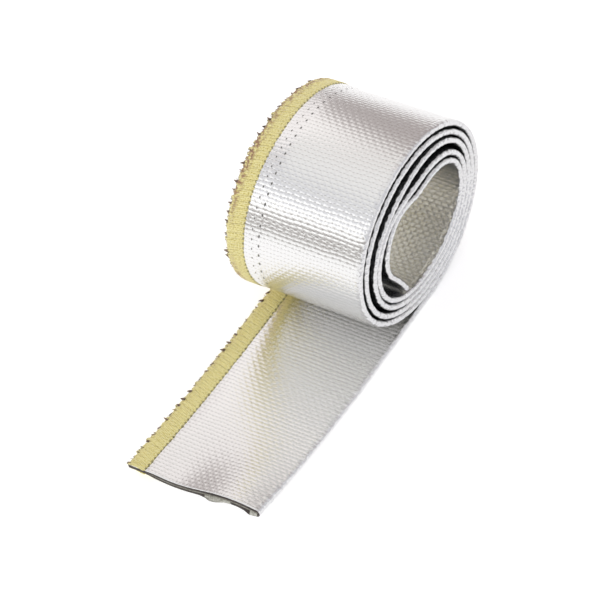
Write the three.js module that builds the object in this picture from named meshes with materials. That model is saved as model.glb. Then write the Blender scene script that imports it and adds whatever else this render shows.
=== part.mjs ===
// Heat shield sleeve: a flat tube of aluminium-faced glass cloth, folded along one edge and
// overlocked with yellow aramid thread along the other, wound into a loose roll that stands on
// its own tail. Millimetres, +Z up. X runs across the sleeve, with the sewn edge at -X and the
// folded edge at +X. The roll's axis is along X and the tail points to -Y.
import * as THREE from "three";

// The sleeve laid flat.
const sleeveBore = 25.4; // inside diameter when it is opened round
const plyThickness = 0.8; // one ply of foil-faced glass cloth
const boreSlit = 0.4; // space left between the two plies of the flattened bore
const seamWidth = 6.6; // sewn margin that the overlock thread wraps
const seamPlyThickness = 0.7; // a ply where the stitches squeeze it
const threadThickness = 0.25;
const threadClearance = 0.1; // between the thread and the cloth under it
const seamEase = 1.2; // how far beside the seam the cloth swells to its full thickness
const slitEase = 3; // how far beside the seam the bore slit opens to its full height
const foldSides = 4; // flats around the folded edge

// The roll, seen along its axis.
const rollWidth = 70.2; // over all, along Y
const rollHeight = 61.8; // over all, along Z, away from the sewn edge
const turnClearance = 0.3; // between turns that lie on each other
const turnsWound = 4.73; // from the floor to where the inner end leaves the curve
const innerEndBend = 41; // degrees that the inner end then turns inwards
const innerEndBendLength = 6; // over this length
const innerEndLength = 15.5; // straight stretch that stands on the turn under it
const stepsPerTurn = 22;

// Slack between neighbouring turns: which gap, counted from outside, its most, the direction
// where it is widest, and how far to each side it reaches, in degrees from +Y towards +Z.
const slack = [
  { gap: 1, most: 1.5, at: 118, reach: 130 },
  { gap: 2, most: 3.9, at: 126, reach: 118 },
  { gap: 3, most: 3.4, at: 70, reach: 80 },
  { gap: 4, most: 1.8, at: 62, reach: 64 },
  { gap: 4, most: 2.6, at: 188, reach: 76 },
];

// The sewn edge is thicker than the cloth, so its turns stack wider and the roll flares there.
const flareStart = 13; // from the sewn edge to where the flare begins
const flareSettle = 2; // power that keeps the flare off the floor and full at the sides

// The tail.
const tailLength = 99; // from under the roll's axis to the cut mouth
const tailFlat = 34; // length of tail that lies flat on the floor in front of the axis
const mouthLiftSewn = 3.6; // height of the mouth over the floor at the sewn edge
const mouthLiftFolded = 5.6; // and at the folded edge
const mouthWave = 1.2; // height of the wave across the mouth
const mouthWaveReach = 34; // length of tail that the wave dies out over
const tailSteps = 9;

const clothThickness = 2 * plyThickness + boreSlit;
const seamClothThickness = 2 * seamPlyThickness;
const seamThickness = seamClothThickness + 2 * (threadThickness + threadClearance);
const flatBore = (Math.PI * sleeveBore) / 2;
const sleeveWidth = flatBore + plyThickness + seamWidth;
const sewnEdge = -sleeveWidth / 2;
const foldedEdge = sleeveWidth / 2;
const needleLine = sewnEdge + seamWidth;
const turnPitch = clothThickness + turnClearance;
const seamPitch = seamThickness + turnClearance;
const flarePerTurn = seamPitch - turnPitch;
const turnsInStack = Math.ceil(turnsWound);
const degree = Math.PI / 180;
const bottom = -Math.PI / 2;

// The outer face of the outermost turn is an ellipse that closes in by one pitch a turn.
const halfWidth = (rollWidth + turnPitch) / 2;
const halfHeight = (rollHeight + turnPitch / 2) / 2;
const axisHeight = halfHeight;

function smoothStep(t) {
  const c = Math.min(Math.max(t, 0), 1);
  return c * c * (3 - 2 * c);
}

// Slack that lies outside turn number `turn` in direction phi.
function slackOutside(turn, phi) {
  let sum = 0;
  for (const s of slack) {
    if (s.gap > turn) continue;
    const off = Math.abs(((phi / degree - s.at + 540) % 360) - 180);
    if (off < s.reach) sum += (s.most * (1 + Math.cos((Math.PI * off) / s.reach))) / 2;
  }
  return sum;
}

// A point on the outer face of the wound strip, `wound` radians in from the floor.
function rollPoint(wound) {
  const phi = bottom + wound;
  const ellipse =
    (halfWidth * halfHeight) /
    Math.hypot(halfHeight * Math.cos(phi), halfWidth * Math.sin(phi));
  const turns = wound / (2 * Math.PI);
  const radius = ellipse - turnPitch * turns - slackOutside(Math.floor(turns + 1e-9), phi);
  return new THREE.Vector2(
    radius * Math.cos(phi),
    axisHeight + radius * Math.sin(phi),
  );
}

// How far the sewn edge stands out of the roll in direction phi. Under the axis its turns stack
// up from the floor, and beside it they stack up on the innermost one.
function flareAt(turns, phi) {
  const down = Math.pow((1 - Math.sin(phi)) / 2, flareSettle);
  return flarePerTurn * (turnsInStack * (1 - down) - turns);
}

// Where the strip's outer face runs: places along it, each with its point (Y, Z), the direction
// from the outer face into the cloth, and how much the sewn edge stands out there. They are in
// order from the inner end to the mouth, so that the extruded section keeps its faces outward.
function stripStations() {
  const stations = [];
  const mouthY = -tailLength;
  for (let i = 0; i < tailSteps; i++) {
    const y = mouthY + (tailLength * i) / tailSteps;
    stations.push({ at: new THREE.Vector2(y, 0), inward: new THREE.Vector2(0, 1), flare: 0 });
  }
  const steps = Math.round(turnsWound * stepsPerTurn);
  const step = (2 * Math.PI) / stepsPerTurn;
  for (let i = 0; i <= steps; i++) {
    const wound = i * step;
    const turns = wound / (2 * Math.PI);
    const along = rollPoint(wound + step / 8).sub(rollPoint(Math.max(wound - step / 8, 0)));
    along.normalize();
    stations.push({
      at: rollPoint(wound),
      inward: i ? new THREE.Vector2(-along.y, along.x) : new THREE.Vector2(0, 1),
      flare: flareAt(turns, bottom + wound),
    });
  }
  const last = stations[stations.length - 1];
  const bendSteps = 3;
  const straightSteps = 3;
  const at = last.at.clone();
  let heading = Math.atan2(-last.inward.x, last.inward.y);
  for (let i = 1; i <= bendSteps + straightSteps; i++) {
    const bending = i <= bendSteps;
    const length = bending ? innerEndBendLength / bendSteps : innerEndLength / straightSteps;
    heading += bending ? (innerEndBend * degree) / bendSteps : 0;
    const halfBend = bending ? (innerEndBend * degree) / bendSteps / 2 : 0;
    at.x += length * Math.cos(heading - halfBend);
    at.y += length * Math.sin(heading - halfBend);
    const inward = new THREE.Vector2(-Math.sin(heading), Math.cos(heading));
    const phi = Math.atan2(at.y - axisHeight, at.x);
    stations.push({ at: at.clone(), inward, flare: flareAt(turnsInStack, phi) });
  }
  return stations.reverse();
}

// Height that the tail curls off the floor at (x, y), with the wave across its mouth.
function tailLift(x, y) {
  const out = Math.max(-y - tailFlat, 0) / (tailLength - tailFlat);
  const across = (x - sewnEdge) / sleeveWidth;
  const curl = mouthLiftSewn + (mouthLiftFolded - mouthLiftSewn) * across;
  const beyondSeam = Math.max((x - needleLine) / (foldedEdge - needleLine), 0);
  const waveFade = smoothStep((-y - tailLength + mouthWaveReach) / mouthWaveReach);
  return curl * out * out - mouthWave * Math.sin(2 * Math.PI * beyondSeam) * waveFade;
}

// Extrudes a flat section (x across, y from the outer face inwards) over all the stations and
// rolls it up: every corner goes to its place on the strip.
function rolledUp(section, stations, centreY) {
  const steps = stations.length - 1;
  const geometry = new THREE.ExtrudeGeometry(section, {
    depth: steps,
    steps,
    bevelEnabled: false,
    curveSegments: foldSides,
  });
  const corners = geometry.getAttribute("position");
  for (let i = 0; i < corners.count; i++) {
    const x = corners.getX(i);
    const station = stations[Math.round(corners.getZ(i))];
    const flareShare = smoothStep((sewnEdge + flareStart - x) / (flareStart - seamWidth));
    const inwards = corners.getY(i) - station.flare * flareShare;
    const y = station.at.x + inwards * station.inward.x;
    const z = station.at.y + inwards * station.inward.y + tailLift(x, station.at.x) *
      (station.at.x < 0 && station.at.y === 0 ? 1 : 0);
    corners.setXYZ(i, x, y - centreY, z);
  }
  geometry.deleteAttribute("normal");
  geometry.deleteAttribute("uv");
  geometry.computeVertexNormals();
  return geometry;
}

// Places across the cloth, between the seam and the fold, where its section has a corner, so
// that the flare and the mouth's wave have points to bend at.
function bendLines() {
  const flareMiddle = sewnEdge + (seamWidth + flareStart) / 2;
  const flareEnd = sewnEdge + flareStart;
  const fold = foldedEdge - clothThickness / 2;
  const lines = [flareMiddle, flareEnd];
  const wavePanels = 2;
  for (let i = 1; i < wavePanels; i++) {
    lines.push(flareEnd + ((fold - flareEnd) * i) / wavePanels);
  }
  return lines;
}

// The flattened tube: two plies joined by a round fold at +X and lying on each other in the
// seam at -X, with the bore as a slit between them that is open at both ends.
function sleeveSection() {
  const seamLow = threadThickness + threadClearance;
  const seamHigh = seamLow + seamClothThickness;
  const rawEdge = sewnEdge + threadThickness + threadClearance;
  const foldRadius = clothThickness / 2;
  const foldCentre = foldedEdge - foldRadius;
  const lines = bendLines();
  const outline = new THREE.Shape();
  outline.moveTo(rawEdge, seamLow);
  outline.lineTo(needleLine + threadClearance, seamLow);
  outline.lineTo(needleLine + seamEase, 0);
  for (const x of lines) outline.lineTo(x, 0);
  outline.lineTo(foldCentre, 0);
  outline.absarc(foldCentre, foldRadius, foldRadius, -Math.PI / 2, Math.PI / 2, false);
  for (const x of [...lines].reverse()) outline.lineTo(x, clothThickness);
  outline.lineTo(needleLine + seamEase, clothThickness);
  outline.lineTo(needleLine + threadClearance, seamHigh);
  outline.lineTo(rawEdge, seamHigh);
  outline.closePath();

  const slitLow = plyThickness;
  const slitHigh = plyThickness + boreSlit;
  const slitLines = lines.filter((x) => x > needleLine + slitEase);
  const slit = new THREE.Path();
  slit.moveTo(needleLine + seamEase, (slitLow + slitHigh) / 2);
  for (const x of slitLines) slit.lineTo(x, slitLow);
  slit.lineTo(foldCentre, slitLow);
  slit.lineTo(foldedEdge - plyThickness, (slitLow + slitHigh) / 2);
  slit.lineTo(foldCentre, slitHigh);
  for (const x of slitLines.reverse()) slit.lineTo(x, slitHigh);
  slit.closePath();
  outline.holes.push(slit);
  return outline;
}

// The overlock thread: one band that runs over the sewn margin, round its raw edge and back
// underneath.
function threadSection() {
  const clothLow = threadThickness;
  const clothHigh = seamThickness - threadThickness;
  const wrapInside = sewnEdge + threadThickness;
  const band = new THREE.Shape();
  band.moveTo(needleLine, 0);
  band.lineTo(needleLine, clothLow);
  band.lineTo(wrapInside, clothLow);
  band.lineTo(wrapInside, clothHigh);
  band.lineTo(needleLine, clothHigh);
  band.lineTo(needleLine, seamThickness);
  band.lineTo(sewnEdge + threadThickness, seamThickness);
  band.lineTo(sewnEdge, seamThickness - threadThickness);
  band.lineTo(sewnEdge, threadThickness);
  band.lineTo(sewnEdge + threadThickness, 0);
  band.closePath();
  return band;
}

function namedMesh(name, geometry, material) {
  const mesh = new THREE.Mesh(geometry, material);
  mesh.name = name;
  return mesh;
}

const foilCloth = new THREE.MeshStandardMaterial({
  color: 0xd3d4d2,
  roughness: 0.32,
  metalness: 1,
});
const aramidThread = new THREE.MeshStandardMaterial({
  color: 0xe3d478,
  roughness: 0.75,
  metalness: 0,
});

const stations = stripStations();
// The origin is on the floor, in the middle of the part's length.
const backMost = Math.max(...stations.map((s) => s.at.x + Math.max(s.flare, 0) * -s.inward.x));
const centreY = (backMost - tailLength) / 2;

const heatShieldSleeve = new THREE.Group();
heatShieldSleeve.add(
  namedMesh("foil_cloth_sleeve", rolledUp(sleeveSection(), stations, centreY), foilCloth),
  namedMesh("overlock_thread", rolledUp(threadSection(), stations, centreY), aramidThread),
);

export default heatShieldSleeve;
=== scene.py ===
"""Heat shield sleeve, wound into a loose roll on its own tail.

The sleeve is a flat tube of glass cloth faced with aluminium foil. One edge is a fold, and the
other is overlocked with yellow aramid thread. Everything is laid out flat first, as (across,
along, deep) in millimetres, and then carried onto the wound strip.
"""

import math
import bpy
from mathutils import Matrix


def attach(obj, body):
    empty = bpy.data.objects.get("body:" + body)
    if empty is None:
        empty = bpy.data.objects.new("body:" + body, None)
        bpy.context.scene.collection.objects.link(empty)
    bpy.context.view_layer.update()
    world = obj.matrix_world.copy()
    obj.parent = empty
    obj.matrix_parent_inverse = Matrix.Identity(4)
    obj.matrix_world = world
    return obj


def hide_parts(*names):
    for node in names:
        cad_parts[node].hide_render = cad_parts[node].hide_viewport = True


bl_info = {
    "name": "Heat Shield Sleeve",
    "version": (1, 0, 0),
    "blender": (4, 5, 0),
    "location": "View3D > Sidebar > Sleeve",
    "description": "A rolled heat shield sleeve of foil-faced glass cloth with an overlocked edge",
    "category": "Object",
}

import bpy
import numpy as np
from mathutils import Matrix, Vector

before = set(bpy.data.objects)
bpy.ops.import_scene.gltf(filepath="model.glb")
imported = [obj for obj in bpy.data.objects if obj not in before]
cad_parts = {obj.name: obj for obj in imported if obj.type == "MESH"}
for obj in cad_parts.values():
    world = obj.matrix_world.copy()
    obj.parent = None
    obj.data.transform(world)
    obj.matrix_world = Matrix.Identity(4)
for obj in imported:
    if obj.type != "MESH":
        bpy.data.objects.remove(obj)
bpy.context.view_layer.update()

MM = 0.001
BODY = "root"
CLOTH_NODE = "foil_cloth_sleeve"
THREAD_NODE = "overlock_thread"


class SleeveSizes(bpy.types.PropertyGroup):
    """The sleeve laid flat, in millimetres"""

    bore: bpy.props.FloatProperty(
        name="Bore", description="Inside diameter when opened round", default=25.4, min=5.0
    )
    ply: bpy.props.FloatProperty(
        name="Ply", description="Thickness of one ply of foil-faced cloth", default=0.8, min=0.2
    )
    slit: bpy.props.FloatProperty(
        name="Slit", description="Space between the two plies", default=0.4, min=0.05
    )
    seam: bpy.props.FloatProperty(
        name="Seam", description="Width of the overlocked margin", default=6.6, min=2.0
    )
    seam_ply: bpy.props.FloatProperty(
        name="Seam ply", description="Thickness of a ply where the stitches squeeze it", default=0.7
    )
    thread: bpy.props.FloatProperty(
        name="Thread", description="Thickness of the overlock thread on one face", default=0.25
    )
    thread_gap: bpy.props.FloatProperty(
        name="Thread gap", description="Between the thread and the cloth", default=0.1, min=0.0
    )
    seam_ease: bpy.props.FloatProperty(
        name="Seam ease", description="Where the cloth swells beside the seam", default=1.2
    )


class RollSizes(bpy.types.PropertyGroup):
    """The wound strip seen along its axis, in millimetres"""

    width: bpy.props.FloatProperty(name="Width", description="Roll width along Y", default=70.2)
    height: bpy.props.FloatProperty(name="Height", description="Roll height", default=61.8)
    clearance: bpy.props.FloatProperty(
        name="Clearance", description="Between turns that lie on each other", default=0.3
    )
    turns: bpy.props.FloatProperty(
        name="Turns", description="Turns from the floor to the inner end's bend", default=4.73
    )
    end_bend: bpy.props.FloatProperty(
        name="End bend", description="Turn of the inner end", default=math.radians(52.0),
        subtype="ANGLE",
    )
    end_bend_length: bpy.props.FloatProperty(
        name="Bend length", description="Length of that bend", default=11.0
    )
    end_curl: bpy.props.FloatProperty(
        name="End curl", description="How far the free end turns back",
        default=math.radians(11.0), subtype="ANGLE",
    )
    end_length: bpy.props.FloatProperty(
        name="End length", description="Stretch that turns back at the inner end", default=10.8
    )
    flare_start: bpy.props.FloatProperty(
        name="Flare start", description="From the sewn edge to where the flare begins", default=13.0
    )
    flare_settle: bpy.props.FloatProperty(
        name="Flare settle", description="Power that keeps the flare off the floor", default=2.0
    )
    dip: bpy.props.FloatProperty(
        name="Dip", description="How much lower the sewn edge lies over the top", default=1.4
    )
    tail: bpy.props.FloatProperty(
        name="Tail", description="From under the axis to the mouth", default=99.0
    )
    tail_flat: bpy.props.FloatProperty(
        name="Flat tail", description="Length that lies flat on the floor", default=34.0
    )
    lift_sewn: bpy.props.FloatProperty(
        name="Lift, sewn", description="Height of the mouth at the sewn edge", default=3.6
    )
    lift_folded: bpy.props.FloatProperty(
        name="Lift, folded", description="Height of the mouth at the fold", default=5.6
    )
    wave: bpy.props.FloatProperty(
        name="Wave", description="Height of the wave across the mouth", default=1.2
    )
    wave_reach: bpy.props.FloatProperty(
        name="Wave reach", description="Length of tail that the wave dies out over", default=34.0
    )


class ThreadSizes(bpy.types.PropertyGroup):
    """The overlock stitches, in millimetres"""

    pitch: bpy.props.FloatProperty(
        name="Pitch", description="Between two wraps of thread", default=0.95, min=0.4
    )
    width: bpy.props.FloatProperty(
        name="Width", description="Width of a wrap of flattened yarn", default=1.5
    )
    slant: bpy.props.FloatProperty(
        name="Slant", description="How far a wrap leans along the sleeve", default=2.4
    )
    loop: bpy.props.FloatProperty(
        name="Loop", description="How far the loops stand out of the raw edge", default=0.55
    )


class SleeveColours(bpy.types.PropertyGroup):
    """Colours as sRGB hex values"""

    foil: bpy.props.StringProperty(name="Foil", description="Aluminium foil", default="EBEBEA")
    thread: bpy.props.StringProperty(
        name="Thread", description="Yellow aramid", default="F4E99C"
    )
    glass: bpy.props.StringProperty(
        name="Glass cloth", description="Bare inside of the cloth", default="C9C8BE"
    )
    # The cut edge is painted dark, as the shade in the slit and the hollow at the mouth.
    cut: bpy.props.StringProperty(
        name="Cut edge", description="Cut edge of the cloth, painted dark as shade", default="2B2724"
    )
    fibre: bpy.props.StringProperty(
        name="Frayed ends", description="Cut yarn ends at the raw edge", default="4A3A30"
    )


# Slack between neighbouring turns: which gap, counted from outside, its most in mm, the
# direction where it is widest, and how far to each side it reaches, in degrees.
SLACK = (
    (1, 1.5, 118.0, 130.0),
    (2, 3.9, 126.0, 118.0),
    (3, 3.4, 70.0, 80.0),
    (4, 1.8, 62.0, 64.0),
    (4, 2.6, 188.0, 76.0),
)

# Points along the strip: on the tail, round the turns, and on each stretch of the inner end.
TAIL_POINTS, WOUND_POINTS, END_POINTS = 60, 900, 8

# Spacing of the cloth's points in mm: across its flat faces, along its outside and inside it.
ACROSS_STEP, ALONG_STEP, INSIDE_STEP = 2.1, 0.65, 6.0

# Flaps of the lower ply that show at the mouth: their place across, half width and reach in mm,
# and the length of cloth that is drawn out to make them.
FLAPS = ((7.5, 3.0, 1.5), (20.5, 2.0, 0.9))
FLAP_ROOT = 9.0

# Length in mm of one scallop of foil along the fold.
SCALLOP = 2.6

# Stubby corners of cloth at the sewn edge, by their spacing in mm, and thin yarns, by number.
CORNER_STEP, THIN_YARNS = 3.2, 650


def smooth(t):
    """Eases from 0 to 1."""
    c = np.clip(t, 0.0, 1.0)
    return c * c * (3.0 - 2.0 * c)


def slack_outside(turn, phi):
    """Slack that lies outside each turn in direction phi, in degrees."""
    total = np.zeros_like(phi)
    for gap, most, at, reach in SLACK:
        off = np.abs((phi - at + 540.0) % 360.0 - 180.0)
        bump = most * (1.0 + np.cos(np.pi * np.minimum(off / reach, 1.0))) / 2.0
        total += np.where(turn >= gap, bump, 0.0)
    return total


class WoundStrip:
    """Carries points from the flat sleeve onto the roll."""

    def __init__(self, sleeve, roll):
        self.sleeve, self.roll = sleeve, roll
        self.thick = 2 * sleeve.ply + sleeve.slit
        self.seam_thick = 2 * (sleeve.seam_ply + sleeve.thread + sleeve.thread_gap)
        self.width = math.pi * sleeve.bore / 2 + sleeve.ply + sleeve.seam
        self.sewn = -self.width / 2
        self.fold = self.width / 2
        self.needle = self.sewn + sleeve.seam
        self.pitch = self.thick + roll.clearance
        self.flare_per_turn = self.seam_thick + roll.clearance - self.pitch
        self.stack = math.ceil(roll.turns)
        self.half = ((roll.width + self.pitch) / 2, (roll.height + self.pitch / 2) / 2)
        self.lay()

    def wound_point(self, wound):
        """Y and Z of the strip's outer face, wound radians in from the floor."""
        phi = wound - np.pi / 2
        a, b = self.half
        ellipse = a * b / np.hypot(b * np.cos(phi), a * np.sin(phi))
        turns = wound / (2 * np.pi)
        r = ellipse - self.pitch * turns
        r -= slack_outside(np.floor(turns + 1e-9), np.degrees(phi))
        return r * np.cos(phi), b + r * np.sin(phi)

    def flare_at(self, turns, phi):
        down = ((1.0 - np.sin(phi)) / 2.0) ** self.roll.flare_settle
        return self.flare_per_turn * (self.stack * (1.0 - down) - turns)

    def lay(self):
        """Lays out the strip's outer face: its place, its heading and its flare, by length."""
        roll = self.roll
        y = list(np.linspace(-roll.tail, 0.0, TAIL_POINTS, endpoint=False))
        z = [0.0] * len(y)
        flare = [0.0] * len(y)
        wound = np.linspace(0.0, roll.turns * 2 * np.pi, WOUND_POINTS)
        turn = [-1.0] * len(y) + list(wound / (2 * np.pi))
        wy, wz = self.wound_point(wound)
        y += list(wy)
        z += list(wz)
        flare += list(self.flare_at(wound / (2 * np.pi), wound - np.pi / 2))
        heading = math.atan2(z[-1] - z[-2], y[-1] - y[-2])
        for length, bend in (
            (roll.end_bend_length, roll.end_bend), (roll.end_length, -roll.end_curl)
        ):
            for _ in range(END_POINTS):
                heading += bend / END_POINTS
                y.append(y[-1] + length / END_POINTS * math.cos(heading))
                z.append(z[-1] + length / END_POINTS * math.sin(heading))
                phi = math.atan2(z[-1] - self.half[1], y[-1])
                flare.append(float(self.flare_at(self.stack, phi)))
                turn.append(roll.turns)
        y, z = np.array(y), np.array(z)
        angle = np.unwrap(np.arctan2(np.gradient(z), np.gradient(y)))
        angle[:TAIL_POINTS] = 0.0
        middle_y = y - np.sin(angle) * self.thick / 2
        middle_z = z + np.cos(angle) * self.thick / 2
        run = np.hypot(np.diff(middle_y), np.diff(middle_z))
        self.along = np.concatenate([[0.0], np.cumsum(run)])
        self.y, self.z, self.angle, self.flare = y, z, angle, np.array(flare)
        self.turn = np.array(turn)
        # The dip is deepest in direction 100 degrees, and dies out over 75 degrees each way.
        off = np.degrees(np.arctan2(z - self.half[1], y)) - 100.0
        dip = roll.dip * np.cos(np.pi / 2 * np.clip(off / 75.0, -1.0, 1.0)) ** 2
        self.flare = self.flare - dip * (self.turn >= 0.0)
        self.length = float(self.along[-1])
        self.floor_length = float(self.along[TAIL_POINTS])
        back = (y + np.maximum(self.flare, 0.0) * np.sin(angle)).max()
        self.centre_y = (back - roll.tail) / 2

    def painted_shade(self, x, v, h):
        """Painted shade, from 0 on open faces to 1 on faces that lie deep between two turns."""
        turn = np.interp(v, self.along, self.turn)
        wound = turn >= 0.0
        outer_face = h < self.thick / 2
        hidden = np.where(outer_face, turn > 0.99, wound & (turn < self.roll.turns - 0.8))
        # Low in front, where the outer turn looks down on the tail, it gets half of the painted
        # shade.
        under = 0.45 * smooth((0.2 - turn) / 0.12) * wound * outer_face
        return np.maximum(hidden * smooth((self.fold - 0.9 - x) / 2.4), under)

    def lift(self, x, y):
        """Height of the tail's curl and wave."""
        roll = self.roll
        out = np.maximum(-y - roll.tail_flat, 0.0) / (roll.tail - roll.tail_flat)
        across = (x - self.sewn) / self.width
        curl = roll.lift_sewn + (roll.lift_folded - roll.lift_sewn) * across
        beyond = np.maximum((x - self.needle) / (self.fold - self.needle), 0.0)
        fade = smooth((-y - roll.tail + roll.wave_reach) / roll.wave_reach)
        return curl * out * out - roll.wave * np.sin(2 * np.pi * beyond) * fade

    def place(self, x, v, h):
        """Points at x across, v along from the mouth and h deep from the outer face, in metres."""
        x, v, h = (np.asarray(q, float) for q in (x, v, h))
        beyond = np.minimum(v, 0.0)
        y = np.interp(v, self.along, self.y) + beyond
        z = np.interp(v, self.along, self.z)
        angle = np.interp(v, self.along, self.angle)
        flare = np.interp(v, self.along, self.flare)
        ease = self.roll.flare_start - self.sleeve.seam
        share = smooth((self.sewn + self.roll.flare_start - x) / ease)
        deep = h - flare * share
        on_floor = v < self.floor_length
        lift = np.where(on_floor, self.lift(x, y), 0.0)
        out_y = y - deep * np.sin(angle) - self.centre_y
        out_z = z + deep * np.cos(angle) + lift
        return np.stack([x, out_y, out_z], axis=-1) * MM


def linear(hex_colour):
    """An sRGB hex colour as linear RGBA."""
    parts = [int(hex_colour[i : i + 2], 16) / 255 for i in (0, 2, 4)]
    return [c / 12.92 if c <= 0.04045 else ((c + 0.055) / 1.055) ** 2.4 for c in parts] + [1.0]


def settings(name):
    return getattr(bpy.context.scene, "sleeve_" + name)


def wound_strip():
    return WoundStrip(settings("sizes"), settings("roll"))


def grid_faces(rows, columns, first=0, close=False):
    """Quads between rows of points, with the rows closed into rings where asked."""
    r, c = np.meshgrid(np.arange(rows - 1), np.arange(columns if close else columns - 1))
    r, c = r.ravel(), c.ravel()
    n = (c + 1) % columns
    return first + np.stack(
        [r * columns + c, r * columns + n, (r + 1) * columns + n, (r + 1) * columns + c], axis=1
    )


def cloth_object(name, points, faces, uv=None, slots=None, painted_shade=None):
    """A smooth mesh object from arrays of points and quads."""
    mesh = bpy.data.meshes.new(name)
    mesh.from_pydata(points.tolist(), [], faces if isinstance(faces, list) else faces.tolist())
    if uv is not None:
        layer = mesh.uv_layers.new(name="flat")
        layer.data.foreach_set("uv", np.asarray(uv, np.float32).ravel())
    if slots is not None:
        mesh.polygons.foreach_set("material_index", np.asarray(slots, np.int32))
    # A point attribute of painted shade, which the foil's colour reads.
    if painted_shade is not None:
        layer = mesh.attributes.new("painted_shade", "FLOAT", "POINT")
        layer.data.foreach_set("value", np.asarray(painted_shade, np.float32))
    mesh.polygons.foreach_set("use_smooth", np.ones(len(mesh.polygons), bool))
    mesh.validate()
    mesh.update()
    thing = bpy.data.objects.new(name, mesh)
    bpy.context.scene.collection.objects.link(thing)
    return thing


def face_outwards(thing, close=False):
    """Turns every face outwards, after closing open ends where asked."""
    bpy.ops.object.select_all(action="DESELECT")
    bpy.context.view_layer.objects.active = thing
    thing.select_set(True)
    bpy.ops.object.mode_set(mode="EDIT")
    bpy.ops.mesh.select_all(action="SELECT")
    if close:
        bpy.ops.mesh.fill_holes(sides=0)
        bpy.ops.mesh.select_all(action="SELECT")
    bpy.ops.mesh.normals_make_consistent(inside=False)
    bpy.ops.object.mode_set(mode="OBJECT")


def node(tree, kind, inputs=(), stops=(), **fields):
    """Adds a shader node with its fields set, its colour stops placed, and its inputs filled or
    linked, in order or by name. A node that is given as an input links its first output."""
    made = tree.nodes.new("ShaderNode" + kind)
    for key, value in fields.items():
        setattr(made, key, value)
    if stops:
        ramp = made.color_ramp.elements
        for end in (0, -1):
            ramp[end].color, ramp[end].position = linear(stops[end][0]), stops[end][1]
        for colour, at in stops[1:-1]:
            ramp.new(at).color = linear(colour)
    for key, value in inputs.items() if isinstance(inputs, dict) else enumerate(inputs):
        value = value.outputs[0] if isinstance(value, bpy.types.Node) else value
        if isinstance(value, bpy.types.NodeSocket):
            tree.links.new(value, made.inputs[key])
        else:
            made.inputs[key].default_value = value
    return made


def new_material(name):
    material = bpy.data.materials.new(name)
    material.use_nodes = True
    material.node_tree.nodes.clear()
    return material, material.node_tree


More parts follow.
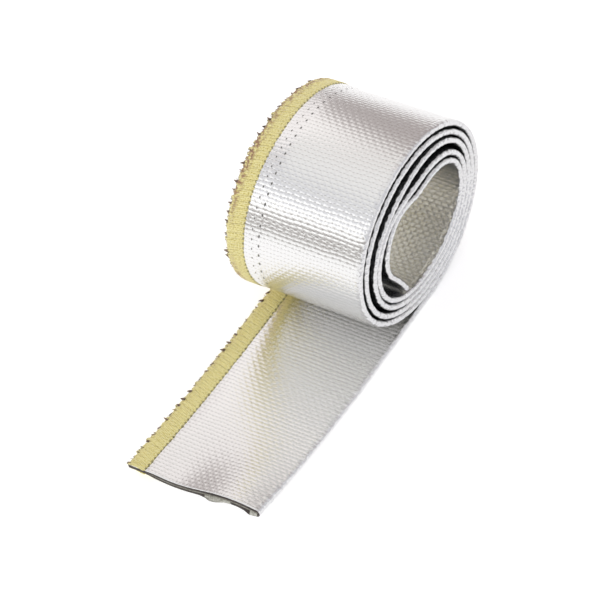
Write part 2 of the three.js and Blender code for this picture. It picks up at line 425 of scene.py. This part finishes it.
def foil_material(strip):
    """Aluminium foil laminated on plain-woven glass cloth: bright satin metal that takes the
    weave's crowns and pits, creased along the fold, with two rows of needle holes beside the sewn
    margin. Painted shade darkens the pits of the weave, and makes the foil duller between the turns
    and under the front of the outer turn."""
    material, tree = new_material("aluminium_foil_on_glass_cloth")
    # UV is in centimetres on the flat sleeve. The rows of yarn lie 1.35 mm apart along it, the
    # yarns in a row 1.25 mm apart, and the needle holes 3.2 mm. The rows waver over 8 mm, and the
    # foil has dents of 0.6 mm all over and creases of 1.7 mm at the fold.
    row_step, yarn_step, hole_step = 0.135, 0.125, 0.32
    fold = (strip.width + strip.thick / 4) * 0.1
    flat = node(tree, "UVMap", uv_map="flat")
    split = node(tree, "SeparateXYZ", (flat,))
    crumple = {"Vector": flat, "Scale": 16.0, "Detail": 3.0, "Roughness": 0.65}
    made = {
        "u": split.outputs[0],
        "v": split.outputs[1],
        "wobble": node(tree, "TexNoise", {"Vector": flat, "Scale": 1.2, "Detail": 2.0}),
        "crumple": node(tree, "TexNoise", crumple),
        "crease": node(tree, "TexVoronoi", {"Vector": flat, "Scale": 6.0}),
        "holes": 0.0,
    }
    sums = [
        # The rows' ribs, and the crowns along them. Every other row is shifted by one yarn.
        ("row", "MULTIPLY_ADD", "wobble", 0.09, "v"),
        ("row", "MULTIPLY", "row", 1 / row_step),
        ("odd", "FLOOR", "row"),
        ("odd", "MODULO", "odd", 2.0),
        ("rib", "MULTIPLY", "row", math.pi),
        ("rib", "SINE", "rib"),
        ("rib", "ABSOLUTE", "rib"),
        ("column", "MULTIPLY_ADD", "wobble", 0.07, "u"),
        ("column", "MULTIPLY", "column", math.pi / yarn_step),
        ("crown", "MULTIPLY_ADD", "odd", math.pi, "column"),
        ("crown", "COSINE", "crown"),
        ("crown", "MULTIPLY_ADD", "crown", 0.5, 0.5),
        ("cross", "MULTIPLY", "u", math.pi / yarn_step),
        ("cross", "SINE", "cross"),
        ("cross", "ABSOLUTE", "cross"),
        ("cross", "MULTIPLY", "cross", 0.18),
        ("top", "MULTIPLY_ADD", "crown", 0.62, 0.38),
        ("height", "MULTIPLY_ADD", "rib", "top", "cross"),
        ("height", "MULTIPLY_ADD", "crumple", 0.55, "height"),
        # The pits where the yarns dive are darkened a little: painted shade.
        ("pit", "ADD", "rib", "crown"),
        ("pit", "MULTIPLY_ADD", "pit", -2.6, 1.5),
        ("dust_and_pit_shade", "MULTIPLY", "pit", 0.55),
        # The foil is creased within 3 mm of the fold.
        ("at fold", "SUBTRACT", "u", fold),
        ("at fold", "ABSOLUTE", "at fold"),
        ("at fold", "MULTIPLY_ADD", "at fold", -1 / 0.22, 1.3),
        ("creases", "MULTIPLY", "crease", "at fold"),
        ("height", "MULTIPLY_ADD", "creases", 7.0, "height"),
        ("grey fold", "MULTIPLY", "at fold", 0.4),
    ]
    # Needle holes in a row 11.6 mm from the sewn edge, and in a fainter one at 9.2 mm.
    for place, size, shift in ((1.16, 0.038, 0.0), (0.92, 0.028, 0.5)):
        sums += [
            ("dv", "MULTIPLY_ADD", "v", 1 / hole_step, shift),
            ("dv", "FRACT", "dv"),
            ("dv", "SUBTRACT", "dv", 0.5),
            ("dv", "MULTIPLY", "dv", hole_step),
            ("long", "MULTIPLY", "dv", 0.35),
            ("long", "MULTIPLY", "dv", "long"),
            ("du", "SUBTRACT", "u", place),
            ("far", "MULTIPLY_ADD", "du", "du", "long"),
            ("far", "SQRT", "far"),
            ("hole", "MULTIPLY_ADD", "far", -1 / size, 1.0),
            ("hole", "MAXIMUM", "hole", 0.0),
            ("holes", "ADD", "holes", "hole"),
        ]
    sums += [
        ("holes", "MULTIPLY", "holes", 1.6),
        ("holes", "MINIMUM", "holes", 1.0),
        ("height", "MULTIPLY_ADD", "holes", -1.2, "height"),
    ]
    for name, operation, *values in sums:
        made[name] = node(tree, "Math", [made.get(q, q) for q in values], operation=operation)
    for name in ("pit", "at fold"):
        made[name].use_clamp = True
    tone = linear(settings("colours").foil)
    for share, colour in (
        # Painted shade in the pits of the weave.
        (made["dust_and_pit_shade"], "8E8A85"),
        (made["grey fold"], "C4C4C8"),
        (made["holes"], "4A4744"),
        # Painted shade between the turns and under the front of the outer turn.
        (node(tree, "Attribute", attribute_name="painted_shade").outputs["Fac"], "8B8E94"),
    ):
        mixed = {0: share, 6: tone, 7: linear(colour)}
        tone = node(tree, "Mix", mixed, data_type="RGBA").outputs[2]
    bump = node(tree, "Bump", {"Height": made["height"], "Strength": 0.3, "Distance": 0.0002})
    foil = {"Base Color": tone, "Normal": bump, "Metallic": 1.0, "Roughness": 0.25}
    node(tree, "OutputMaterial", (node(tree, "BsdfPrincipled", foil),))
    return material


def cloth_material(name, colour, dark, grains, rough):
    """Matt glass cloth: soft mottling, with so many grains to the metre, and no gloss."""
    material, tree = new_material(name)
    place = node(tree, "TexCoord").outputs["Object"]
    grain = node(tree, "TexNoise", {"Vector": place, "Scale": grains, "Detail": 3.0})
    ramp = node(tree, "ValToRGB", (grain,), stops=((dark, 0.35), (colour, 0.65)))
    bump = node(tree, "Bump", {"Height": grain, "Strength": 0.5, "Distance": 0.0002})
    glass = {"Base Color": ramp, "Normal": bump, "Roughness": rough}
    node(tree, "OutputMaterial", (node(tree, "BsdfPrincipled", glass),))
    return material


def thread_material():
    """Spun aramid yarn: matt straw yellow, mottled, with a painted highlight on its crowns and
    painted shade in the twist. Small dark stitches tie it along the needle line, and brown dirt
    sits by the raw edge."""
    material, tree = new_material("yellow_aramid_yarn")
    # UV is in centimetres on the flat sleeve. The strands lie 0.6 mm apart, a little coarser
    # than the real twist, and the stitches that tie them down 1.6 mm apart. The fuzz is 0.5 mm
    # fine, the specks of dust 1.1 mm and the patches that they gather in 29 mm.
    strand_step, stitch_step = 0.06, 0.16
    flat = node(tree, "UVMap", uv_map="flat")
    split = node(tree, "SeparateXYZ", (flat,))
    made = {"u": split.outputs[0], "v": split.outputs[1]}
    for name, scale, detail in (("fuzz", 20.0, 3.0), ("speck", 9.0, 2.0), ("patch", 0.35, 0.0)):
        made[name] = node(tree, "TexNoise", {"Vector": flat, "Scale": scale, "Detail": detail})
    for name, operation, *values in (
        # Slanting strands.
        ("slant", "MULTIPLY_ADD", "u", 0.45, "v"),
        ("slant", "MULTIPLY_ADD", "fuzz", 0.05, "slant"),
        ("twist", "MULTIPLY", "slant", 2 * math.pi / strand_step),
        ("twist", "SINE", "twist"),
        ("shade", "MULTIPLY_ADD", "twist", 0.1, "fuzz"),
        # Brown dust in patches beside the raw edge, with less of it on the tail.
        ("near edge", "MULTIPLY_ADD", "u", -1 / 0.16, 2.0),
        ("specks", "MULTIPLY_ADD", "speck", 7.0, -3.0),
        ("patches", "MULTIPLY_ADD", "patch", 4.0, -1.2),
        ("wound", "MULTIPLY_ADD", "v", 1 / 4.0, -3.2),
        ("roll", "MULTIPLY_ADD", "wound", 0.75, 0.15),
        ("dust_and_pit_shade", "MULTIPLY", "specks", "near edge"),
        ("dust_and_pit_shade", "MULTIPLY", "dust_and_pit_shade", "patches"),
        ("dust_and_pit_shade", "MULTIPLY", "dust_and_pit_shade", "roll"),
        # Stitches on the needle line, 6.45 mm from the sewn edge.
        ("dv", "MULTIPLY", "v", 1 / stitch_step),
        ("dv", "FRACT", "dv"),
        ("dv", "SUBTRACT", "dv", 0.5),
        ("dv", "MULTIPLY", "dv", stitch_step),
        ("dv", "MULTIPLY", "dv", "dv"),
        ("du", "SUBTRACT", "u", 0.645),
        ("far", "MULTIPLY_ADD", "du", "du", "dv"),
        ("far", "SQRT", "far"),
        ("stitch", "MULTIPLY_ADD", "far", -1 / 0.05, 1.0),
        ("stitch", "MAXIMUM", "stitch", 0.0),
        ("stitch", "MULTIPLY", "stitch", 2.0),
        ("stitch", "MINIMUM", "stitch", 0.65),
    ):
        made[name] = node(tree, "Math", [made.get(q, q) for q in values], operation=operation)
    for name in ("near edge", "specks", "patches", "wound"):
        made[name].use_clamp = True
    # The pale end of the ramp is a painted highlight and the dark end painted shade, on the
    # strands' crowns and in their twist. The fuzz mottles the tone at random.
    stops = (("C6B45F", 0.3), (settings("colours").thread, 0.5), ("F8F0BC", 0.68))
    tone = node(tree, "ValToRGB", (made["shade"],), stops=stops)
    for share, colour in ((made["dust_and_pit_shade"], "9A6B55"), (made["stitch"], "5E5538")):
        mixed = {0: share, 6: tone, 7: linear(colour)}
        tone = node(tree, "Mix", mixed, data_type="RGBA").outputs[2]
    bump = node(tree, "Bump", {"Height": made["shade"], "Strength": 0.7, "Distance": 0.00015})
    yarn = {"Base Color": tone, "Normal": bump, "Roughness": 0.72, "Sheen Weight": 0.25}
    node(tree, "OutputMaterial", (node(tree, "BsdfPrincipled", yarn),))
    return material


def half_section(strip, spacing):
    """The outer ply's face from the raw edge to the fold: x and depth."""
    sleeve = strip.sleeve
    low = sleeve.thread + sleeve.thread_gap
    raw = strip.sewn + low
    centre = strip.fold - strip.thick / 2
    x = np.linspace(raw, centre, int((centre - raw) / spacing))
    ease = smooth((strip.needle + sleeve.seam_ease - x) / sleeve.seam_ease)
    return x, low * ease


def mouth_gape(strip, x, v):
    """How much thicker the sleeve is near its mouth, where the two plies part: by 0.3 over the
    last 26 mm towards the fold, and by 0.1 over the last 10 mm."""
    across = smooth((x - strip.needle - 1.0) / (strip.fold - strip.needle))
    return 0.3 * across * smooth(1.0 - v / 26.0) + 0.1 * smooth(1.0 - v / 10.0) * (across > 0)


class SLEEVE_OT_foil_cloth(bpy.types.Operator):
    """Make the flat tube of foil-faced glass cloth, wound on the strip"""

    bl_idname = "sleeve.foil_cloth"
    bl_label = "Foil Cloth"

    def execute(self, context):
        strip = wound_strip()
        sleeve = strip.sleeve
        mid = strip.thick / 2
        x, h = half_section(strip, ACROSS_STEP)
        turn = np.linspace(-np.pi / 2, np.pi / 2, 11)[1:-1]
        fold_x = strip.fold - mid + mid * np.cos(turn)
        fold_h = mid + mid * np.sin(turn)
        ring_x = np.concatenate([x, fold_x, x[::-1]])
        ring_h = np.concatenate([h, fold_h, strip.thick - h[::-1]])
        step = np.hypot(np.diff(ring_x), np.diff(ring_h))
        ring_u = np.concatenate([[0.0], np.cumsum(step)]) + sleeve.thread
        count = len(ring_x)
        # The inner ring is the same one a ply deeper.
        in_x = np.clip(ring_x, x[0] + 0.5, strip.fold - sleeve.ply - 0.02)
        gap = np.maximum(sleeve.slit / 2 * smooth((in_x - strip.needle) / 3.0), 0.03)
        in_h = mid + np.clip((ring_h - mid) / mid, -1, 1) * gap
        along = np.linspace(0.0, strip.length, int(strip.length / ALONG_STEP))
        inside = np.linspace(0.0, strip.length, int(strip.length / INSIDE_STEP))

        def rings(xs, hs, stations):
            v = np.repeat(stations[:, None], count, axis=1)
            xx = np.repeat(xs[None, :], len(stations), axis=0)
            hh = np.repeat(hs[None, :], len(stations), axis=0)
            hh = hh * (1.0 + mouth_gape(strip, xx, v))
            return xx, v, hh

        # The cut at the mouth isn't straight: flaps of the lower ply show in front of the upper.
        xx, vv, hh = rings(ring_x, ring_h, along)
        lower = np.clip(1.0 - hh / mid, 0.0, 1.0)
        tongue = sum(reach * np.exp(-(((xx - at) / half) ** 2)) for at, half, reach in FLAPS)
        vv = vv - lower * tongue * smooth(1.0 - vv / FLAP_ROOT)
        # Little scallops along the fold, no two alike.
        rng = np.random.default_rng(7)
        knots = np.arange(0.0, strip.length + SCALLOP / 2, SCALLOP / 2)
        puff = np.interp(along, knots, rng.uniform(-0.05, 0.05, len(knots)))
        puff = puff + 0.11 * np.abs(np.sin(np.pi * along / SCALLOP)) - 0.08
        xx = xx + puff[:, None] * smooth((xx - strip.fold + 3.0) / 2.5)
        # Painted shade for each point, deepest between the turns.
        painted_shade = strip.painted_shade(xx, vv, hh).ravel()
        outer = strip.place(xx, vv, hh).reshape(-1, 3)
        xx, vv, hh = rings(in_x, in_h, inside)
        lower = np.clip((mid - hh) / 0.1, 0.0, 1.0)
        vv = vv - lower * tongue[:1] * smooth(1.0 - vv / FLAP_ROOT)
        inner = strip.place(xx, vv, hh).reshape(-1, 3)
        rows, inner_rows = len(along), len(inside)
        faces = [grid_faces(rows, count, close=True)]
        start = rows * count
        faces.append(grid_faces(inner_rows, count, first=start, close=True)[:, ::-1])
        c = np.arange(count)
        n = (c + 1) % count
        faces.append(np.stack([c, c + start, n + start, n], axis=1))
        last, inner_last = (rows - 1) * count, start + (inner_rows - 1) * count
        faces.append(np.stack([last + c, last + n, inner_last + n, inner_last + c], axis=1))
        quads = np.concatenate(faces)
        slots = np.repeat((0, 1, 2, 2), [len(f) for f in faces])
        # The cut edge is painted dark as painted shade of the slit and the hollow at the mouth, and
        # bare glass where the lower ply stands out in front.
        cut = len(faces[0]) + len(faces[1])
        slots[cut : cut + count][(ring_h < mid) & (tongue[0] > 0.3)] = 1
        u_all = np.tile(ring_u, rows + inner_rows)
        v_all = np.concatenate([np.repeat(along, count), np.repeat(inside, count)])
        uv = np.stack([u_all[quads], v_all[quads]], axis=-1).reshape(-1, 2) * 0.1
        points = np.concatenate([outer, inner])
        painted_shade = np.concatenate([painted_shade, np.zeros(len(inner))])
        cloth = cloth_object("foil_glass_cloth", points, quads, uv, slots, painted_shade)
        colours = settings("colours")
        for material in (
            foil_material(strip),
            cloth_material("bare_glass_cloth", colours.glass, "9A988C", 1600.0, 0.8),
            cloth_material("cut_edge_painted_shade", "4A4039", colours.cut, 1400.0, 0.7),
        ):
            cloth.data.materials.append(material)
        face_outwards(cloth)
        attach(cloth, BODY)
        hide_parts(CLOTH_NODE)
        return {"FINISHED"}


def wrap_path(strip, loop):
    """One wrap of thread round the seam, flat: x, lean along the sleeve and depth."""
    sleeve, needle, sewn = strip.sleeve, strip.needle, strip.sewn
    top, bottom = sleeve.thread * 0.45, strip.seam_thick - sleeve.thread * 0.45
    tuck = sleeve.thread + sleeve.thread_gap * 0.5
    xs = [needle - 0.1, needle - 0.5, needle - 2.4, sewn + 2.2, sewn + 0.7]
    hs = [tuck, top, top, top, top + 0.05, (top + bottom) / 2, bottom - 0.05, bottom, bottom,
          bottom, strip.seam_thick - tuck]
    lean = [0.0, 0.03, 0.3, 0.72, 0.95]
    xs = [*xs, sewn - loop, *xs[::-1]]
    lean = [*lean, 1.0, *lean[::-1]]
    return np.array(xs), np.array(lean), np.array(hs)


class SLEEVE_OT_overlock(bpy.types.Operator):
    """Make the overlock stitches that bind the sewn edge"""

    bl_idname = "sleeve.overlock"
    bl_label = "Overlock Thread"

    def execute(self, context):
        strip = wound_strip()
        thread = settings("thread")
        rng = np.random.default_rng(11)
        count = int((strip.length - 2.0) / thread.pitch)
        sides = 5
        ring = np.linspace(0, 2 * np.pi, sides, endpoint=False)
        # Under the wraps the looper threads lie so close that no cloth shows between them.
        needle, sewn, deep = strip.needle, strip.sewn, strip.seam_thick
        bed = np.array(
            [(needle - 0.25, 0.3), (needle - 0.4, 0.1), (sewn + 1.0, 0.09), (sewn + 0.3, 0.4),
             (sewn + 0.15, deep / 2), (sewn + 0.3, deep - 0.4), (sewn + 1.0, deep - 0.09),
             (needle - 0.4, deep - 0.1), (needle - 0.25, deep - 0.3), (sewn + 0.9, deep - 0.31),
             (sewn + 0.55, deep / 2), (sewn + 0.9, 0.31)]
        )
        stations = np.linspace(0.1, strip.length - 0.1, int(strip.length / 1.5))
        bx = np.repeat(bed[None, :, 0], len(stations), axis=0)
        bh = np.repeat(bed[None, :, 1], len(stations), axis=0)
        bv = np.repeat(stations[:, None], len(bed), axis=1)
        bed_faces = grid_faces(len(stations), len(bed), close=True)
        bed_uv = np.stack([bx.ravel() - sewn, bv.ravel()], axis=-1) * 0.1
        points = [strip.place(bx, bv, bh).reshape(-1, 3)]
        faces, uvs = [bed_faces], [bed_uv[bed_faces].reshape(-1, 2)]
        first = len(stations) * len(bed)
        for i in range(count):
            v0 = 0.3 + i * thread.pitch + rng.uniform(-0.12, 0.12)
            loop = thread.loop * rng.uniform(0.1, 1.0)
            if rng.random() < 0.12:
                loop += rng.uniform(0.2, 0.6)
            x, lean, h = wrap_path(strip, loop)
            v = v0 + lean * (thread.slant + rng.uniform(-0.9, 0.9)) * 0.5
            v = np.clip(v, 0.0, strip.length)
            x = x + rng.uniform(-0.15, 0.15)
            # A flattened oval section, wide along the sleeve and thin through it.
            dx, dh = np.gradient(x), np.gradient(h)
            size = np.maximum(np.hypot(dx, dh), 1e-6)
            nx, nh = -dh / size, dx / size
            wide = thread.width / 2 * np.interp(np.arange(len(x)), [0, 1, 5, 9, 10],
                                                [0.35, 0.95, 0.75, 0.95, 0.35])
            thin = strip.sleeve.thread * rng.uniform(0.45, 0.75)
            px = x[:, None] + nx[:, None] * np.sin(ring)[None, :] * thin
            ph = h[:, None] + nh[:, None] * np.sin(ring)[None, :] * thin
            pv = v[:, None] + np.cos(ring)[None, :] * wide[:, None]
            points.append(strip.place(px, np.clip(pv, -0.4, strip.length), ph).reshape(-1, 3))
            f = grid_faces(len(x), sides, first=first, close=True)
            faces.append(f)
            flat = np.stack([px.ravel() - sewn, pv.ravel()], axis=-1) * 0.1
            uvs.append(flat[f - first].reshape(-1, 2))
            first += len(x) * sides
        points, faces, uvs = (np.concatenate(q) for q in (points, faces, uvs))
        piece = cloth_object("overlock_stitches", points, faces, uvs)
        piece.data.materials.append(thread_material())
        face_outwards(piece, close=True)
        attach(piece, BODY)
        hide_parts(THREAD_NODE)
        return {"FINISHED"}


class SLEEVE_OT_frayed_ends(bpy.types.Operator):
    """Make the cut yarn ends of the cloth that poke out between the stitches"""

    bl_idname = "sleeve.frayed_ends"
    bl_label = "Frayed Ends"

    def execute(self, context):
        strip = wound_strip()
        rng = np.random.default_rng(23)
        sides, rings = 5, 4
        ring = np.linspace(0, 2 * np.pi, sides, endpoint=False)
        t = np.linspace(0.0, 1.0, rings)
        # Where along the sleeve each end pokes out, how far it reaches and how thick it is.
        tips = [(v + rng.uniform(-0.4, 0.4), rng.uniform(0.6, 1.15), rng.uniform(0.45, 0.65))
                for v in np.arange(1.0, strip.length - 1.0, CORNER_STEP)]
        tips += [(rng.uniform(0.5, strip.length - 1.0), rng.uniform(0.3, 0.9),
                  rng.uniform(0.1, 0.2)) for _ in range(THIN_YARNS)]
        points, faces = [], []
        first = 0
        for v, reach, thick in tips:
            # The corners stand out most over the top and front of the outer turn.
            turn = np.interp(v, strip.along, strip.turn)
            reach *= 1.0 if 0.45 < turn < 0.82 else 0.6
            base_h = strip.seam_thick / 2 + rng.uniform(-0.6, 0.5) + 0.6 * (turn < 0.0)
            x = strip.sewn + 0.9 - t * (1.1 + reach)
            lean = rng.uniform(-0.7, 0.7)
            rise = rng.uniform(-0.5, 0.3)
            radius = thick * (1.0 - 0.85 * t**1.8)
            px = np.repeat(x[:, None], sides, axis=1)
            pv = v + lean * t[:, None] ** 2 + radius[:, None] * np.cos(ring)[None, :]
            ph = base_h + rise * t[:, None] ** 2 + radius[:, None] * np.sin(ring)[None, :]
            points.append(strip.place(px, pv, ph).reshape(-1, 3))
            faces.extend(grid_faces(rings, sides, first=first, close=True).tolist())
            faces.append(list(range(first + sides - 1, first - 1, -1)))
            faces.append(list(range(first + (rings - 1) * sides, first + rings * sides)))
            first += rings * sides
        piece = cloth_object("frayed_yarn_ends", np.concatenate(points), faces)
        colours = settings("colours")
        piece.data.materials.append(
            cloth_material("sized_glass_yarn", "A38C78", colours.fibre, 900.0, 0.7)
        )
        face_outwards(piece)
        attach(piece, BODY)
        return {"FINISHED"}


class SLEEVE_OT_studio(bpy.types.Operator):
    """Make the white sweep, the soft lights and the camera"""

    bl_idname = "sleeve.studio"
    bl_label = "Studio"

    def execute(self, context):
        scene = context.scene
        bpy.ops.object.select_all(action="DESELECT")
        bpy.ops.mesh.primitive_plane_add(size=6.0, location=(0.0, 0.0, -0.0004))
        floor = context.active_object
        floor.name = "studio_floor"
        # Matt white paper that glows a little, so that its far parts stay as white as the near.
        material, tree = new_material("white_sweep")
        paper = {"Base Color": linear("F4F4F4"), "Roughness": 1.0, "Specular IOR Level": 0.0,
                 "Emission Color": linear("FFFFFF"), "Emission Strength": 0.42}
        node(tree, "OutputMaterial", (node(tree, "BsdfPrincipled", paper),))
        floor.data.materials.append(material)

        # The camera: its direction and tilt in degrees, and its place in mm from a point on the
        # floor in front of the roll's axis.
        az, el, tilt = (math.radians(a) for a in (40.90, 47.05, -12.59))
        away, side, rise, before = 837.93, -17.9025, -4.4175, 5.8125
        back = Vector((math.sin(az) * math.cos(el), -math.cos(az) * math.cos(el), math.sin(el)))
        right = Vector((math.cos(az), math.sin(az), 0.0))
        up = back.cross(right)
        right, up = (
            right * math.cos(tilt) + up * math.sin(tilt),
            up * math.cos(tilt) - right * math.sin(tilt),
        )
        strip = wound_strip()
        origin = Vector((0.0, -before - strip.centre_y, 0.0))
        data = bpy.data.cameras.new("photo_camera")
        camera = bpy.data.objects.new("photo_camera", data)
        scene.collection.objects.link(camera)
        data.sensor_width = 36.0
        data.lens = 161.7
        data.clip_start = 0.01
        turn = Matrix((right, up, back)).transposed().to_4x4()
        place = (origin + back * away + right * side + up * rise) * MM
        camera.matrix_world = Matrix.Translation(place) @ turn
        scene.camera = camera

        world = bpy.data.worlds.new("studio_air")
        scene.world = world
        world.use_nodes = True
        tree = world.node_tree
        tree.nodes.clear()
        ray = node(tree, "TexCoord").outputs["Generated"]
        split = node(tree, "SeparateXYZ", (ray,))
        # A room that a metal roll mirrors, by height. In front are a low dim wall, a bright band
        # over it and a grey ceiling, and behind is a dimmer wall.
        front = (("FFFFFF", 0.0), ("FFFFFF", 0.14), ("665C56", 0.18), ("70665F", 0.38),
                 ("FFFFFF", 0.42), ("FFFFFF", 0.62), ("B8B8C2", 0.7), ("C8C8CC", 0.77),
                 ("D4D4D4", 0.86), ("D4D3D2", 1.0))
        behind = (("A8A09F", 0.0), ("A8A09F", 0.6), ("B4ADAB", 0.7), ("C9C5C3", 0.8),
                  ("D8D7D6", 1.0))
        room = node(tree, "ValToRGB", (split.outputs[2],), stops=front)
        back_wall = node(tree, "ValToRGB", (split.outputs[2],), stops=behind)
        # A pale wall on the folded side lights the folds.
        side_wall = linear("D6D6DA")
        for axis, slope, start, wall in ((1, 1.6, 0.4, back_wall), (0, 2.0, -0.2, side_wall)):
            share = (split.outputs[axis], slope, start)
            share = node(tree, "Math", share, operation="MULTIPLY_ADD")
            room = node(tree, "Mix", {0: share, 6: room, 7: wall}, data_type="RGBA").outputs[2]
        node(tree, "OutputWorld", (node(tree, "Background", (room, 1.25)),))

        # Two soft lamps, and a small card behind the roll that brightens the tail's mouth end.
        for name, place, towards, size, power in (
            ("soft_overhead", (-0.1, 0.1, 0.9), (0.0, 0.0, 0.03), 1.0, 0.5),
            ("soft_front_left", (-0.6, -0.7, 0.6), (0.0, 0.0, 0.03), 0.5, 0.25),
            ("white_card", (-0.118, 0.105, 0.137), (0.0, -0.055, 0.003), 0.115, 0.024),
        ):
            light = bpy.data.lights.new(name, "AREA")
            light.size = size
            light.energy = power
            lamp = bpy.data.objects.new(name, light)
            scene.collection.objects.link(lamp)
            lamp.location = place
            aim = Vector(towards) - Vector(place)
            lamp.rotation_euler = aim.to_track_quat("-Z", "Y").to_euler()
        scene.view_settings.view_transform = "Standard"
        return {"FINISHED"}


class SLEEVE_PT_panel(bpy.types.Panel):
    """Lists what builds the sleeve"""

    bl_idname = "SLEEVE_PT_panel"
    bl_label = "Heat Shield Sleeve"
    bl_space_type = "VIEW_3D"
    bl_region_type = "UI"
    bl_category = "Sleeve"

    def draw(self, context):
        for operator in (
            SLEEVE_OT_foil_cloth,
            SLEEVE_OT_overlock,
            SLEEVE_OT_frayed_ends,
            SLEEVE_OT_studio,
        ):
            self.layout.operator(operator.bl_idname)


CLASSES = (
    SleeveSizes,
    RollSizes,
    ThreadSizes,
    SleeveColours,
    SLEEVE_OT_foil_cloth,
    SLEEVE_OT_overlock,
    SLEEVE_OT_frayed_ends,
    SLEEVE_OT_studio,
    SLEEVE_PT_panel,
)
GROUPS = (
    ("sizes", SleeveSizes),
    ("roll", RollSizes),
    ("thread", ThreadSizes),
    ("colours", SleeveColours),
)


def register():
    for cls in CLASSES:
        bpy.utils.register_class(cls)
    for name, group in GROUPS:
        setattr(bpy.types.Scene, "sleeve_" + name, bpy.props.PointerProperty(type=group))


def unregister():
    for name, _ in GROUPS:
        delattr(bpy.types.Scene, "sleeve_" + name)
    for cls in reversed(CLASSES):
        bpy.utils.unregister_class(cls)


def main():
    register()
    bpy.ops.sleeve.studio()
    bpy.ops.sleeve.foil_cloth()
    bpy.ops.sleeve.overlock()
    bpy.ops.sleeve.frayed_ends()


if __name__ == "__main__":
    main()
